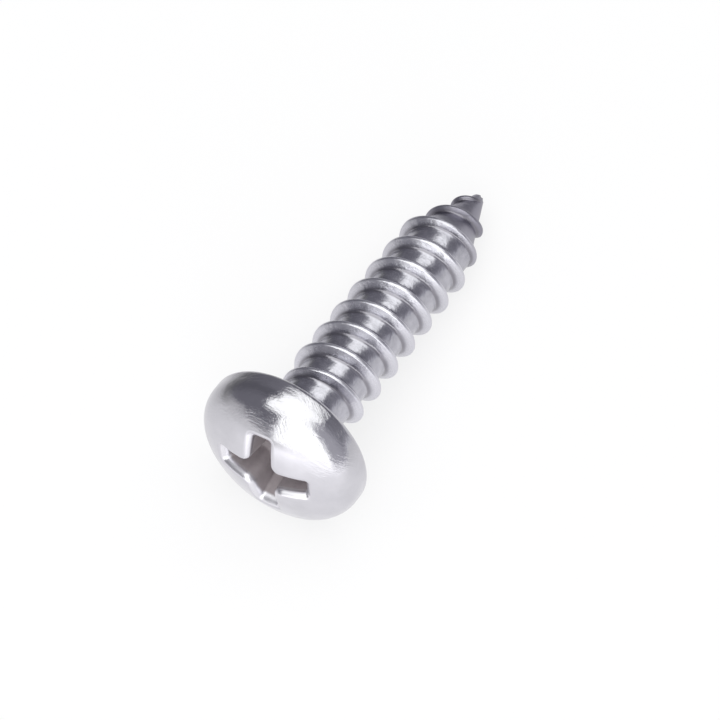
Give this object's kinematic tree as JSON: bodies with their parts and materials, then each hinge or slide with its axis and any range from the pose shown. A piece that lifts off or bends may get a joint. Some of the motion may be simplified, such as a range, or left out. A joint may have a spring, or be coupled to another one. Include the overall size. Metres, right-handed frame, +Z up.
{
  "type": "sheet metal screw",
  "caption": "Pan-head tapping screw with a cross recess, a coarse right-hand thread and a gimlet point, lying on its side.",
  "frame": {"origin": "middle of the footprint, on the floor that the screw lies on", "axes": "+Z up, +X from the head towards the point along the floor; the screw's own axis lies in the XZ plane and dips about 9 degrees towards the point"},
  "size_m": [0.0192, 0.008, 0.008],
  "materials": {
    "bright_steel": "bright, plated"
  },
  "bodies": {
    "root": {"screw": "bright_steel"}
  },
  "joints": []
}
